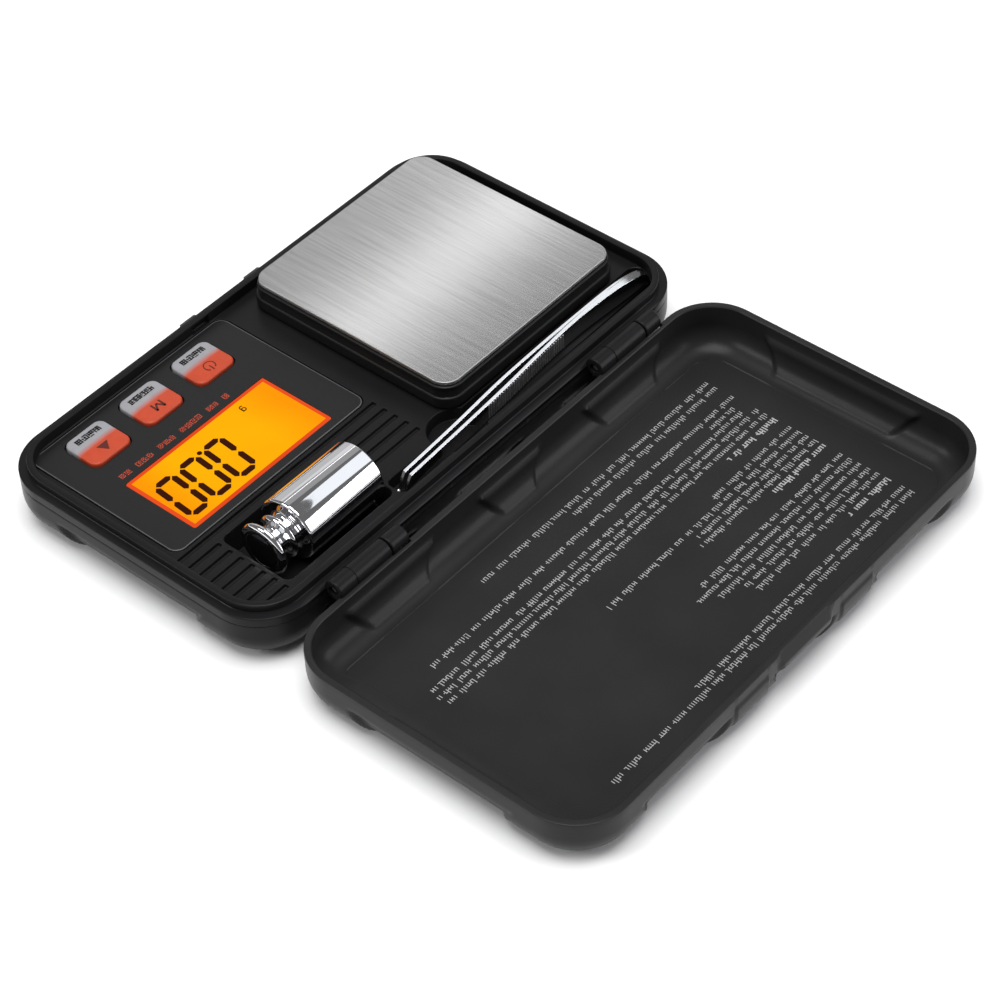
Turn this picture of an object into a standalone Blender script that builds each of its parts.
"""Pocket gram scale in a clamshell case, lying open, with its weight and tweezers.

The case halves lie flat, hinged along X. The base is on the -Y side, the lid on the +Y side.
The origin is on the table, under the hinge axis, midway along it. +X is the user's right hand.
Sizes below are in millimetres; solid() turns them into metres.
"""
import math

import bmesh
import bpy
from mathutils import Matrix, Vector

MM = 0.001
GAP = 0.3                       # clearance between separate pieces

# Case: both halves share one rounded outline
CASE_WIDTH = 122.0
HALF_DEPTH = 69.0
HALF_GAP = 1.5                  # from the hinge axis to each half's back wall
CORNER_RADIUS = 11.0
WALL = 1.4
FLOOR = 1.3
EDGE_RADIUS = 6.0               # rounding between floor and walls, outside
HALF_CENTRE = HALF_GAP + HALF_DEPTH / 2
CORNER_STEPS = 6
FILLET_STEPS = 4

# Heights above the table
BASE_BOTTOM = 0.5
SEAM_Z = 10.0                   # joint between bottom shell and top deck
LEDGE_Z = 12.0                  # where the closed lid's rim rests
LIP_Z = 13.0
DECK_Z = 11.3
LEDGE_WIDTH = 1.7
LIP_WIDTH = 1.4
LID_BOTTOM = 0.4
LID_RIM = 10.9
HINGE_Z = (LEDGE_Z + LID_RIM + GAP) / 2

# Pads on the edge opposite the hinge, in pairs either side of X = 0
PAD_PROUD = 0.8
BASE_PADS = (9.0, 4.6)          # middle, width
BASE_PAD_Z = (6.8, LEDGE_Z - 0.2)
LID_PADS = (15.5, 10.0)
LID_PAD_Z = (2.8, 8.6)

# Hinges: a short base knuckle and a long lid knuckle on each pin
KNUCKLE_RADIUS = 2.1
KNUCKLE_CLEARANCE = KNUCKLE_RADIUS + GAP
PIN_RADIUS = 0.7
BASE_KNUCKLE = 4.4
LID_KNUCKLE = 13.6
HINGE_STARTS = (-47.2, 26.6)    # -X end of each hinge

# Platform
PLATE_SIZE = (49.8, 50.4)
PLATE_CENTRE = (-27.6, -39.1)
PLATE_TOP = 17.8
PLATE_THICKNESS = 0.6
TRAY_OVERHANG = 0.8
TRAY_BOTTOM = 11.9
TRAY_TOP = PLATE_TOP - PLATE_THICKNESS - GAP
TRAY_WALL = 1.8
POST_CENTRE = (-11.5, -39.1)
POST_SIZE = (9.0, 9.0)

# Control panel
PANEL = (4.3, 55.4, -66.8, -28.4)          # low x, high x, low y, high y
PANEL_THICKNESS = 0.3
SCREEN_CENTRE = (30.2, -39.4)
SCREEN_SIZE = (36.8, 17.9)
BUTTON_SIZE = (9.7, 9.1)
BUTTON_TOP = 12.1
BUTTON_BOTTOM = 9.9
BUTTON_Y = -60.0
BUTTON_PITCH = 14.0
BUTTON_NAMES = ("power_button", "mode_button", "count_button")
BOARD_TOP = 7.1
BOARD_THICKNESS = 1.0

# Weight and its pocket
WEIGHT_RADIUS = 6.5
WEIGHT_AXIS = (-16.3, 12.2)                # y, z
WEIGHT_X = 19.8                            # flat end
POCKET = (19.2, 47.8, -24.8, -8.0)
POCKET_FLOOR = 5.4
POCKET_WALL = 1.2

# Tweezers and their trough
TWEEZER_Z = (8.8, 12.8)
TROUGH_FLOOR = 8.5
TROUGH = (-57.6, -4.0, -13.0, -6.8)
SLOT = (3.0, 18.5, -10.9, -6.4)
RECESS_CENTRE = (-0.4, -9.7)
RECESS_RADIUS = 5.9
RECESS_FLOOR = 8.2

# Grooves pressed into the deck beside the weight
GROOVE_PITCH = 2.75
GROOVE_WIDTH = 1.1
GROOVE_DEPTH = 0.8
GROOVE_Y = -26.8                           # the long groove, nearest the panel
GROOVES_LEFT = 5
GROOVES_RIGHT = 8
GROOVE_X = (3.7, 57.0)

# Load cell and its fixings
CELL_X = (-49.5, -5.5)
CELL_Y = (-44.6, -33.6)
CELL_Z = (3.0, 9.0)
CELL_HOLE = 2.0
CELL_SCREWS_X = (-46.5, -41.5)
SCREW_RADIUS = 1.0
SCREW_HEAD_RADIUS = 1.9

# Batteries and door
COIN_RADIUS = 10.0
COIN_Z = (1.95, 5.15)
COIN_CENTRES = ((6.3, -53.4), (6.3, -32.2))
DOOR = (-5.0, 18.0, -66.0, -21.0)
DOOR_TOP = 1.6

# Feet and case screws
FOOT_RADIUS = 4.0
FOOT_TOP = 0.9
FOOT_CENTRES = ((-47.0, -52.0), (47.0, -52.0), (-47.0, -13.0), (47.0, -13.0))
CASE_SCREWS = ((-50.0, -60.5), (50.0, -60.5), (-52.0, -24.0), (52.4, -25.0))
BOSS_RADIUS = 2.6

# Colour, roughness and metallic value of each material
FINISHES = {
    "case": ((0.030, 0.030, 0.032, 1), 0.55, 0.0),
    "panel": ((0.020, 0.020, 0.022, 1), 0.35, 0.0),
    "tray": ((0.008, 0.008, 0.008, 1), 0.45, 0.0),
    "steel": ((0.62, 0.62, 0.62, 1), 0.35, 1.0),
    "chrome": ((0.75, 0.75, 0.77, 1), 0.08, 1.0),
    "orange": ((0.80, 0.12, 0.03, 1), 0.40, 0.0),
    "screen": ((1.00, 0.48, 0.01, 1), 0.20, 0.0),
    "clear": ((0.90, 0.60, 0.20, 1), 0.10, 0.0),
    "board": ((0.02, 0.16, 0.06, 1), 0.50, 0.0),
    "rubber": ((0.02, 0.02, 0.02, 1), 0.80, 0.0),
    "aluminium": ((0.70, 0.70, 0.72, 1), 0.40, 1.0),
    "white": ((0.80, 0.80, 0.78, 1), 0.40, 0.0),
}


def clear_scene():
    for obj in list(bpy.data.objects):
        bpy.data.objects.remove(obj, do_unlink=True)


def material(name, finish):
    colour, roughness, metallic = FINISHES[finish]
    mat = bpy.data.materials.new(name)
    mat.use_nodes = True
    shader = mat.node_tree.nodes["Principled BSDF"]
    shader.inputs["Base Color"].default_value = colour
    shader.inputs["Roughness"].default_value = roughness
    shader.inputs["Metallic"].default_value = metallic
    mat.diffuse_color = colour
    return mat


def solid(name, bm, finish, origin=(0, 0, 0)):
    """Make an object from a mesh in millimetres, with its origin at the given point."""
    bmesh.ops.recalc_face_normals(bm, faces=bm.faces)
    bmesh.ops.translate(bm, verts=bm.verts, vec=-Vector(origin))
    bmesh.ops.scale(bm, verts=bm.verts, vec=(MM, MM, MM))
    mesh = bpy.data.meshes.new(name)
    bm.to_mesh(mesh)
    bm.free()
    mesh.shade_smooth()
    mesh.set_sharp_from_angle(angle=math.radians(35))
    mesh.materials.append(material(name, finish))
    obj = bpy.data.objects.new(name, mesh)
    obj.location = Vector(origin) * MM
    bpy.context.scene.collection.objects.link(obj)
    return obj


def combine(target, operation, cutters):
    """Cut or join each cutter; cutters stay in the file as hidden guides."""
    for cutter in cutters:
        cutter.hide_render = True
        cutter.display_type = "WIRE"
        step = target.modifiers.new(cutter.name, "BOOLEAN")
        step.operation = operation
        step.solver = "EXACT"
        step.object = cutter
    return target


def rounded_rectangle(low_x, high_x, low_y, high_y, radius, steps=CORNER_STEPS):
    """Corner points of a rounded rectangle, anticlockwise from the +X, +Y corner."""
    points = []
    corners = ((high_x - radius, high_y - radius), (low_x + radius, high_y - radius),
               (low_x + radius, low_y + radius), (high_x - radius, low_y + radius))
    for quarter, (cx, cy) in enumerate(corners):
        for step in range(steps + 1):
            angle = math.radians(90) * (quarter + step / steps)
            points.append((cx + radius * math.cos(angle), cy + radius * math.sin(angle)))
    return points


def case_outline(side, inset):
    """Outline of a case half, shrunk by inset; side is -1 for the base, +1 for the lid."""
    half_width = CASE_WIDTH / 2 - inset
    half_depth = HALF_DEPTH / 2 - inset
    centre = side * HALF_CENTRE
    return rounded_rectangle(-half_width, half_width, centre - half_depth,
                             centre + half_depth, CORNER_RADIUS - inset)


def loft(rings):
    """Closed solid through rings of matching points; the first and last rings are capped."""
    bm = bmesh.new()
    loops = [[bm.verts.new(point) for point in ring] for ring in rings]
    for lower, upper in zip(loops, loops[1:]):
        for i in range(len(lower)):
            j = (i + 1) % len(lower)
            bm.faces.new((lower[i], lower[j], upper[j], upper[i]))
    bm.faces.new(loops[0])
    bm.faces.new(loops[-1])
    return bm


def prism(points, low_z, high_z):
    return loft([[(x, y, z) for x, y in points] for z in (low_z, high_z)])


def block(low_x, high_x, low_y, high_y, low_z, high_z, radius=0.0, steps=3):
    if radius:
        points = rounded_rectangle(low_x, high_x, low_y, high_y, radius, steps)
    else:
        points = ((low_x, low_y), (high_x, low_y), (high_x, high_y), (low_x, high_y))
    return prism(points, low_z, high_z)


def centred_block(centre, size, low_z, high_z, radius=0.0, grow=0.0):
    half_x = size[0] / 2 + grow
    half_y = size[1] / 2 + grow
    return block(centre[0] - half_x, centre[0] + half_x, centre[1] - half_y,
                 centre[1] + half_y, low_z, high_z, radius)


def turned(profile, segments=24):
    """Closed solid of revolution about Z through (radius, height) points."""
    ring = [math.radians(360) * i / segments for i in range(segments)]
    return loft([[(r * math.cos(a), r * math.sin(a), z) for a in ring] for r, z in profile])


def along_x(bm):
    """Turn a solid that stands on Z so that its height runs along +X."""
    bmesh.ops.rotate(bm, verts=bm.verts, matrix=Matrix.Rotation(math.radians(90), 3, "Y"))
    return bm


def moved(bm, x, y, z):
    bmesh.ops.translate(bm, verts=bm.verts, vec=(x, y, z))
    return bm


def rod(radius, low_z, high_z, x, y, segments=24):
    return moved(turned(((radius, low_z), (radius, high_z)), segments), x, y, 0)


def rod_x(radius, low_x, high_x, y, z, segments=24):
    return moved(along_x(turned(((radius, low_x), (radius, high_x)), segments)), 0, y, z)


def rod_y(radius, low_y, high_y, x, z, segments=16):
    bm = turned(((radius, low_y), (radius, high_y)), segments)
    bmesh.ops.rotate(bm, verts=bm.verts, matrix=Matrix.Rotation(math.radians(-90), 3, "X"))
    return moved(bm, x, 0, z)


def hinge_spans(start):
    """X spans of the base knuckle and the lid knuckle of one hinge."""
    split = start + BASE_KNUCKLE
    return (start, split), (split + GAP, split + GAP + LID_KNUCKLE)


def fillet(bottom, wall, radius):
    """(inset, height) points from the floor up the rounding to the wall."""
    points = []
    for step in range(FILLET_STEPS + 1):
        angle = math.radians(90) * step / FILLET_STEPS
        points.append((wall + radius * (1 - math.sin(angle)), bottom + radius * (1 - math.cos(angle))))
    return points


def bowl(side, bottom, rim):
    """A case half: outer skin, flat rim and inner skin."""
    outer = fillet(bottom, 0.0, EDGE_RADIUS) + [(0.0, rim)]
    inner = [(WALL, rim)] + fillet(bottom + FLOOR, WALL, EDGE_RADIUS - WALL)[::-1]
    return loft([[(x, y, z) for x, y in case_outline(side, inset)] for inset, z in outer + inner])


def front_pads(name, side, centre_x, width, low_z, high_z):
    """Two small tapered pads on the edge opposite the hinge."""
    wall_y = side * (HALF_GAP + HALF_DEPTH)
    root, face = wall_y - side * PAD_PROUD, wall_y + side * PAD_PROUD
    pads = []
    for sign in (-1, 1):
        low, high = sign * centre_x - width / 2, sign * centre_x + width / 2
        points = ((low, root), (low + PAD_PROUD, face), (high - PAD_PROUD, face), (high, root))
        pads.append(solid(f"{name}_{len(pads)}", prism(points, low_z, high_z), "case"))
    return pads


def bottom_shell():
    shell = solid("bottom_shell", bowl(-1, BASE_BOTTOM, SEAM_Z - GAP / 2), "case")
    combine(shell, "UNION", front_pads("shell_pad", -1, *BASE_PADS, BASE_PAD_Z[0], SEAM_Z - GAP))
    cutters = []
    for start in HINGE_STARTS:
        low, high = hinge_spans(start)[1]
        cutters.append(solid("shell_hinge_cut", rod_x(KNUCKLE_CLEARANCE, low - GAP, high + GAP, 0, HINGE_Z),
                             "case"))
        low, high = hinge_spans(start)[0]
        cutters.append(solid("shell_knuckle_cut", rod_x(KNUCKLE_CLEARANCE, low - GAP, high, 0, HINGE_Z),
                             "case"))
    for x, y in FOOT_CENTRES:
        cutters.append(solid("foot_recess", rod(FOOT_RADIUS + GAP, -1, FOOT_TOP + GAP, x, y), "case"))
    for x, y in CASE_SCREWS:
        cutters.append(solid("screw_hole", moved(turned((
            (SCREW_HEAD_RADIUS + GAP, -1), (SCREW_HEAD_RADIUS + GAP, 1.3),
            (SCREW_RADIUS + GAP, 1.3), (SCREW_RADIUS + GAP, 3)), 16), x, y, 0), "case"))
    cell_y = sum(CELL_Y) / 2
    for x in CELL_SCREWS_X:
        cutters.append(solid("cell_screw_hole", moved(turned((
            (SCREW_HEAD_RADIUS + GAP, -1), (SCREW_HEAD_RADIUS + GAP, 1.3),
            (SCREW_RADIUS + GAP, 1.3), (SCREW_RADIUS + GAP, 3)), 16), x, cell_y, 0), "case"))
    cutters.append(solid("platform_screw_access", rod(2.5, -1, 3, POST_CENTRE[0], cell_y, 16), "case"))
    cutters.append(solid("stop_screw_hole", rod(SCREW_RADIUS + GAP, -1, 3, -20, cell_y, 16), "case"))
    low_x, high_x, low_y, high_y = DOOR
    cutters.append(solid("door_recess", block(low_x - GAP, high_x + GAP, low_y - 20, high_y + GAP,
                                              -1, DOOR_TOP + GAP), "case"))
    return combine(shell, "DIFFERENCE", cutters)


def groove_cutters():
    cutters = []
    for row in range(GROOVES_RIGHT):
        y = GROOVE_Y + row * GROOVE_PITCH
        spans = [(GROOVE_X[0], GROOVE_X[1])] if row == 0 else [(POCKET[1] + 0.8, GROOVE_X[1])]
        if 0 < row < GROOVES_LEFT:
            spans.append((GROOVE_X[0], POCKET[0] - 0.8))
        for low, high in spans:
            cutters.append(solid("groove", block(low, high, y - GROOVE_WIDTH / 2, y + GROOVE_WIDTH / 2,
                                                 DECK_Z - GROOVE_DEPTH, DECK_Z + 1), "case"))
    return cutters


def top_deck():
    edge = LEDGE_WIDTH + LIP_WIDTH
    rings = ((0.0, SEAM_Z + GAP / 2), (0.0, LEDGE_Z - 0.4), (0.4, LEDGE_Z), (LEDGE_WIDTH, LEDGE_Z),
             (LEDGE_WIDTH, LIP_Z - 0.3), (LEDGE_WIDTH + 0.3, LIP_Z), (edge - 0.3, LIP_Z), (edge, DECK_Z))
    deck = solid("top_deck", loft([[(x, y, z) for x, y in case_outline(-1, inset)]
                                   for inset, z in rings]), "case")
    under = SEAM_Z + GAP / 2 + 0.5
    wells = [
        solid("pocket_well", block(POCKET[0] - POCKET_WALL, POCKET[1] + POCKET_WALL, POCKET[2] - POCKET_WALL,
                                   POCKET[3] + POCKET_WALL, POCKET_FLOOR - POCKET_WALL, under, 2.0), "case"),
        solid("trough_well", block(TROUGH[0] + 1.5, SLOT[1] - 0.8, TROUGH[2] - 1.0, TROUGH[3] + 1.0,
                                   RECESS_FLOOR - 1.0, under, 2.0), "case"),
    ]
    for x, y in CASE_SCREWS:
        wells.append(solid("boss", rod(BOSS_RADIUS, 2.1, under, x, y, 16), "case"))
    for start in HINGE_STARTS:
        low, high = hinge_spans(start)[0]
        wells.append(solid("base_knuckle", rod_x(KNUCKLE_RADIUS, low, high, 0, HINGE_Z), "case"))
    wells += front_pads("deck_pad", -1, *BASE_PADS, SEAM_Z + GAP, BASE_PAD_Z[1])
    combine(deck, "UNION", wells)
    top = DECK_Z + 2
    cutters = [
        solid("pocket", block(*POCKET, POCKET_FLOOR, top, 1.5), "case"),
        solid("trough", block(*TROUGH, TROUGH_FLOOR, top, 2.4), "case"),
        solid("slot", block(*SLOT, TROUGH_FLOOR, top, 1.0), "case"),
        solid("finger_recess", rod(RECESS_RADIUS, RECESS_FLOOR, top, *RECESS_CENTRE, 32), "case"),
        solid("panel_recess", block(PANEL[0] - GAP, PANEL[1] + GAP, PANEL[2] - GAP, PANEL[3] + GAP,
                                    DECK_Z - PANEL_THICKNESS - GAP, top, 2.5), "case"),
        solid("screen_opening", centred_block(SCREEN_CENTRE, SCREEN_SIZE, 5, top, 0, GAP), "case"),
        solid("post_opening", centred_block(POST_CENTRE, POST_SIZE, 5, top, 0, 1.0), "case"),
    ]
    cutters += groove_cutters()
    for index in range(len(BUTTON_NAMES)):
        cutters.append(solid("button_opening", centred_block(button_centre(index), BUTTON_SIZE,
                                                             5, top, 1.9, GAP), "case"))
    for x, y in CASE_SCREWS:
        cutters.append(solid("boss_hole", rod(SCREW_RADIUS + GAP, 1, 8.5, x, y, 12), "case"))
    for start in HINGE_STARTS:
        base, lid = hinge_spans(start)
        cutters.append(solid("deck_hinge_cut", rod_x(KNUCKLE_CLEARANCE, lid[0] - GAP, lid[1] + GAP,
                                                     0, HINGE_Z), "case"))
        cutters.append(solid("base_pin_hole", rod_x(PIN_RADIUS + GAP, base[0] + 0.8, base[1] + 1,
                                                    0, HINGE_Z, 12), "case"))
    return combine(deck, "DIFFERENCE", cutters)


def lid_shell():
    lid = solid("lid_shell", bowl(1, LID_BOTTOM, LID_RIM), "case", (0, 0, HINGE_Z))
    joined = front_pads("lid_pad", 1, *LID_PADS, *LID_PAD_Z)
    for start in HINGE_STARTS:
        low, high = hinge_spans(start)[1]
        joined.append(solid("lid_knuckle", rod_x(KNUCKLE_RADIUS, low, high, 0, HINGE_Z), "case"))
        joined.append(solid("lid_web", block(low, high, 0.3, HALF_GAP + 0.7, HINGE_Z - KNUCKLE_RADIUS + 0.03,
                                             LID_RIM), "case"))
    combine(lid, "UNION", joined)
    cutters = []
    for start in HINGE_STARTS:
        base, arm = hinge_spans(start)
        cutters.append(solid("lid_hinge_cut", rod_x(KNUCKLE_CLEARANCE, base[0] - GAP, base[1] + GAP,
                                                    0, HINGE_Z), "case"))
        cutters.append(solid("lid_pin_hole", rod_x(PIN_RADIUS + GAP, arm[0] - 1, arm[1] + 1,
                                                   0, HINGE_Z, 12), "case"))
    return combine(lid, "DIFFERENCE", cutters)


def hinge_pins():
    for number, start in enumerate(HINGE_STARTS, 1):
        base, lid = hinge_spans(start)
        solid(f"hinge_pin_{number}", rod_x(PIN_RADIUS, base[0] + 0.8 + GAP, lid[1] - 0.6, 0, HINGE_Z, 12),
              "steel", (0, 0, HINGE_Z))


def button_centre(index):
    return SCREEN_CENTRE[0] + (index - 1) * BUTTON_PITCH, BUTTON_Y


def button(index):
    x, y = button_centre(index)
    half_x, half_y = BUTTON_SIZE[0] / 2, BUTTON_SIZE[1] / 2
    rings = ((0.0, BUTTON_BOTTOM), (0.0, BUTTON_TOP - 0.4), (0.4, BUTTON_TOP))
    bm = loft([[(px, py, z) for px, py in rounded_rectangle(
        x - half_x + inset, x + half_x - inset, y - half_y + inset, y + half_y - inset, 1.7 - inset, 4)]
        for inset, z in rings])
    solid(BUTTON_NAMES[index], bm, "orange", (x, y, BUTTON_TOP))


def control_panel():
    low_z = DECK_Z - PANEL_THICKNESS
    label = solid("label_membrane", block(*PANEL, low_z, DECK_Z, 2.2), "panel")
    cutters = [solid("label_window", centred_block(SCREEN_CENTRE, SCREEN_SIZE, low_z - 1, DECK_Z + 1, 0, GAP),
                     "panel")]
    for index in range(len(BUTTON_NAMES)):
        cutters.append(solid("label_hole", centred_block(button_centre(index), BUTTON_SIZE, low_z - 1,
                                                         DECK_Z + 1, 1.9, GAP), "panel"))
        button(index)
    combine(label, "DIFFERENCE", cutters)
    solid("lcd_window", centred_block(SCREEN_CENTRE, SCREEN_SIZE, DECK_Z - 0.7, DECK_Z), "clear")
    solid("lcd_glass", centred_block(SCREEN_CENTRE, SCREEN_SIZE, DECK_Z - 2.4, DECK_Z - 1.0), "screen")


def electronics():
    low_x, high_x = SCREEN_CENTRE[0] - SCREEN_SIZE[0] / 2, SCREEN_CENTRE[0] + SCREEN_SIZE[0] / 2
    low_y, high_y = SCREEN_CENTRE[1] - SCREEN_SIZE[1] / 2, SCREEN_CENTRE[1] + SCREEN_SIZE[1] / 2
    top = DECK_Z - 2.7
    solid("backlight_panel", block(low_x, high_x, low_y + 2.3, high_y, BOARD_TOP + GAP, top), "white")
    solid("lcd_connector", block(low_x, high_x, low_y, low_y + 2.0, BOARD_TOP + GAP, top), "rubber")
    board = solid("circuit_board", block(6.0, 55.0, -65.5, -28.0, BOARD_TOP - BOARD_THICKNESS, BOARD_TOP),
                  "board")
    combine(board, "DIFFERENCE", [solid("board_notch", block(46.9, 60, -70, -57.0, 4, 9), "board")])
    for index in range(len(BUTTON_NAMES)):
        x, y = button_centre(index)
        bm = turned(((2.2, BOARD_TOP + GAP), (2.2, 8.5), (1.2, 8.6), (1.2, 9.1)), 12)
        solid(f"key_switch_{index + 1}", moved(bm, x, y, 0), "steel")


def screw(name, x, y, head_low, shank_top, radius=SCREW_RADIUS):
    profile = ((SCREW_HEAD_RADIUS, head_low), (SCREW_HEAD_RADIUS, head_low + 0.5), (radius, head_low + 0.5),
               (radius, shank_top))
    solid(name, moved(turned(profile, 12), x, y, 0), "steel")


def load_cell():
    cell_y = sum(CELL_Y) / 2
    cell_mid = sum(CELL_X) / 2
    cell_z = sum(CELL_Z) / 2
    beam = solid("load_cell", block(*CELL_X, *CELL_Y, *CELL_Z), "aluminium")
    cutters = [solid("strain_window", block(cell_mid - 5, cell_mid + 5, CELL_Y[0] - 1, CELL_Y[1] + 1,
                                            cell_z - 1, cell_z + 1), "aluminium")]
    for x in (cell_mid - 5, cell_mid + 5):
        cutters.append(solid("strain_hole", rod_y(CELL_HOLE, CELL_Y[0] - 1, CELL_Y[1] + 1, x, cell_z),
                             "aluminium"))
    for x in CELL_SCREWS_X + (POST_CENTRE[0],):
        cutters.append(solid("cell_bolt_hole", rod(SCREW_RADIUS + GAP, 0, 12, x, cell_y, 12), "aluminium"))
    combine(beam, "DIFFERENCE", cutters)
    spacer = solid("load_cell_spacer", block(CELL_X[0], CELL_X[0] + 11, *CELL_Y, 2.1, CELL_Z[0] - GAP),
                   "aluminium")
    combine(spacer, "DIFFERENCE", [solid("spacer_hole", rod(SCREW_RADIUS + GAP, 0, 5, x, cell_y, 12),
                                         "aluminium") for x in CELL_SCREWS_X])
    for number, x in enumerate(CELL_SCREWS_X, 1):
        screw(f"load_cell_screw_{number}", x, cell_y, 0.5, 7.5)
    solid("overload_stop", rod(SCREW_RADIUS, 0.6, 2.5, -20, cell_y, 12), "steel")
    solid("load_cell_cable", block(CELL_X[1] + GAP, 5.7, cell_y - 3, cell_y + 3, 6.3, 6.7), "white")


def platform():
    half_x = PLATE_SIZE[0] / 2
    half_y = PLATE_SIZE[1] / 2
    x, y = PLATE_CENTRE

    def ring(grow, z):
        points = rounded_rectangle(x - half_x - grow, x + half_x + grow, y - half_y - grow,
                                   y + half_y + grow, 3.5 + grow, 4)
        return [(px, py, z) for px, py in points]

    outer = TRAY_OVERHANG
    tray = loft([ring(-0.2, TRAY_TOP), ring(-0.2, TRAY_TOP - 0.5), ring(outer - 0.3, TRAY_TOP - 0.5),
                 ring(outer - 0.3, TRAY_TOP - 1.4), ring(outer, TRAY_TOP - 1.4), ring(outer, TRAY_BOTTOM),
                 ring(outer - TRAY_WALL, TRAY_BOTTOM), ring(outer - TRAY_WALL, TRAY_TOP - 1.4 - 0.4)])
    solid("platform_tray", tray, "tray")
    plate = loft([ring(-0.15, PLATE_TOP - PLATE_THICKNESS), ring(0, PLATE_TOP - PLATE_THICKNESS + 0.15),
                  ring(0, PLATE_TOP - 0.15), ring(-0.15, PLATE_TOP)])
    solid("weighing_plate", plate, "steel")
    post = solid("platform_post", centred_block(POST_CENTRE, POST_SIZE, 9.7, TRAY_TOP - 1.4 - 0.4 - GAP), "tray")
    combine(post, "DIFFERENCE", [solid("post_hole", rod(SCREW_RADIUS + GAP, 9, 13, *POST_CENTRE, 12), "tray")])
    screw("platform_screw", *POST_CENTRE, 2.1, 12.0)


def batteries():
    holder = solid("battery_holder", block(-4.9, 17.5, -64.7, -20.9, 2.25, 5.1, 1.0), "tray")
    combine(holder, "DIFFERENCE", [solid("coin_seat", rod(COIN_RADIUS + GAP, 1, 7, x, y, 32), "tray")
                                   for x, y in COIN_CENTRES])
    for number, (x, y) in enumerate(COIN_CENTRES, 1):
        bm = turned(((COIN_RADIUS - 0.6, COIN_Z[0]), (COIN_RADIUS, COIN_Z[0] + 0.3),
                     (COIN_RADIUS, COIN_Z[1]), (COIN_RADIUS - 1.0, COIN_Z[1])), 24)
        solid(f"coin_cell_{number}", moved(bm, x, y, 0), "steel")
        solid(f"battery_contact_{number}", block(x - 8, x + 8, y - 2.5, y + 2.5, 5.45, 5.75), "steel")
    door = solid("battery_door", block(*DOOR, BASE_BOTTOM, DOOR_TOP, 0.8), "case")
    grips = [solid("door_grip", block(1.5, 11.5, -60.0 + 1.6 * i, -59.2 + 1.6 * i, 0, BASE_BOTTOM + 0.4), "case")
             for i in range(4)]
    combine(door, "DIFFERENCE", grips)


def fixings():
    for number, (x, y) in enumerate(FOOT_CENTRES, 1):
        bm = turned(((FOOT_RADIUS - 0.4, 0), (FOOT_RADIUS, 0.3), (FOOT_RADIUS, FOOT_TOP)), 20)
        solid(f"foot_{number}", moved(bm, x, y, 0), "rubber")
    for number, (x, y) in enumerate(CASE_SCREWS, 1):
        screw(f"case_screw_{number}", x, y, 0.5, 7.5)


def calibration_weight():
    r = WEIGHT_RADIUS
    profile = ((r - 0.4, 0.0), (r, 0.4), (r, 19.1), (r - 0.4, 19.5), (3.9, 19.7), (3.4, 20.6), (4.6, 21.4),
               (4.6, 22.3), (3.0, 23.0), (3.0, 23.6), (5.3, 25.0), (5.3, 25.6), (4.3, 26.2))
    y, z = WEIGHT_AXIS
    solid("calibration_weight", moved(along_x(turned(profile, 32)), WEIGHT_X, y, z), "chrome",
          (WEIGHT_X, y, z))


def tweezers():
    """A steel strip on edge, folded double at +X, whose leaves close towards -X."""
    leaf = 0.5
    # along the strip: x, middle line y, half the gap between the leaves
    stations = ((16.8, -8.35, 0.5), (0.0, -9.2, 0.55), (-14.0, -10.1, 0.65), (-26.0, -10.7, 0.35),
                (-36.0, -10.8, 0.12), (-48.0, -10.4, 0.12), (-56.9, -9.6, 0.12))
    outer_low = [(x, y - gap - leaf) for x, y, gap in stations]
    outer_high = [(x, y + gap + leaf) for x, y, gap in stations]
    inner_low = [(x, y - gap) for x, y, gap in stations]
    inner_high = [(x, y + gap) for x, y, gap in stations]
    fold_x, fold_y, fold_gap = stations[0]

    def fold(radius):
        angles = [math.radians(-90 + 180 * i / 8) for i in range(1, 8)]
        return [(fold_x + radius * math.cos(a), fold_y + radius * math.sin(a)) for a in angles]

    points = outer_low[::-1] + fold(fold_gap + leaf) + outer_high + inner_high[::-1]
    points += fold(fold_gap)[::-1] + inner_low
    solid("tweezers", prism(points, *TWEEZER_Z), "chrome", (fold_x, fold_y, TWEEZER_Z[0]))


clear_scene()
bottom_shell()
top_deck()
lid_shell()
hinge_pins()
control_panel()
electronics()
load_cell()
platform()
batteries()
fixings()
calibration_weight()
tweezers()
